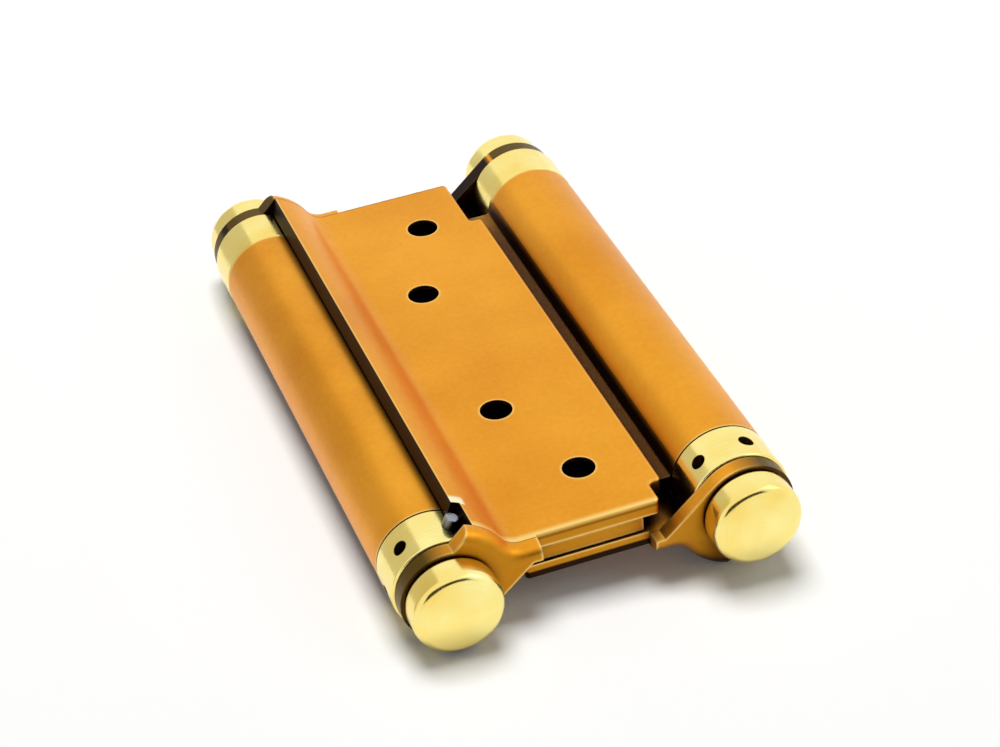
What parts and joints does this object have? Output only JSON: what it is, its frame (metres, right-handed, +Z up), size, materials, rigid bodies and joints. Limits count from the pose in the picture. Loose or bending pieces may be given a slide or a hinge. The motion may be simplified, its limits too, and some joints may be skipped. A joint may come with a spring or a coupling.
{
  "type": "double action spring hinge",
  "caption": "Double action cafe door spring hinge: flat leaves on twin spring barrels joined by a centre web, with round knobs and tommy-bar adjusting collars.",
  "frame": {"origin": "on the surface that the closed hinge lies on, under the middle between the two spindles", "axes": "+X from the door leaf's barrel to the jamb leaf's barrel, +Y along the barrels away from the adjusting collars, +Z up, out of the door leaf's face"},
  "size_m": [0.0648, 0.1168, 0.0207],
  "materials": {
    "satin_bronze": "satin orange-bronze plating on folded sheet",
    "polished_brass": "polished pale yellow brass",
    "spring_steel": "plain bright steel"
  },
  "bodies": {
    "centre": {"centre_web": "satin_bronze", "left_fixed_collar": "polished_brass", "left_anchor_pin": "spring_steel", "left_spindle": "spring_steel", "left_spring": "spring_steel", "left_front_knob": "polished_brass", "left_rear_knob": "polished_brass", "right_fixed_collar": "polished_brass", "right_anchor_pin": "spring_steel", "right_spindle": "spring_steel", "right_spring": "spring_steel", "right_front_knob": "polished_brass", "right_rear_knob": "polished_brass"},
    "door_leaf": {"door_leaf": "satin_bronze", "left_adjusting_collar": "polished_brass", "left_stop_pin": "spring_steel"},
    "jamb_leaf": {"jamb_leaf": "satin_bronze", "right_adjusting_collar": "polished_brass", "right_stop_pin": "spring_steel"}
  },
  "joints": [
    {"name": "door_swing", "type": "hinge", "parent": "centre", "child": "door_leaf", "pos_m": [-0.0242, 0, 0.01036], "axis": [0, -1, 0], "range_deg": [0, 110], "stiffness_Nm_per_rad": 0.5, "springref_deg": -57.3, "deforming": ["left_spring"]},
    {"name": "jamb_swing", "type": "hinge", "parent": "centre", "child": "jamb_leaf", "pos_m": [0.0242, 0, 0.01036], "axis": [0, -1, 0], "range_deg": [0, 110], "stiffness_Nm_per_rad": 0.5, "springref_deg": -57.3, "deforming": ["right_spring"]}
  ]
}
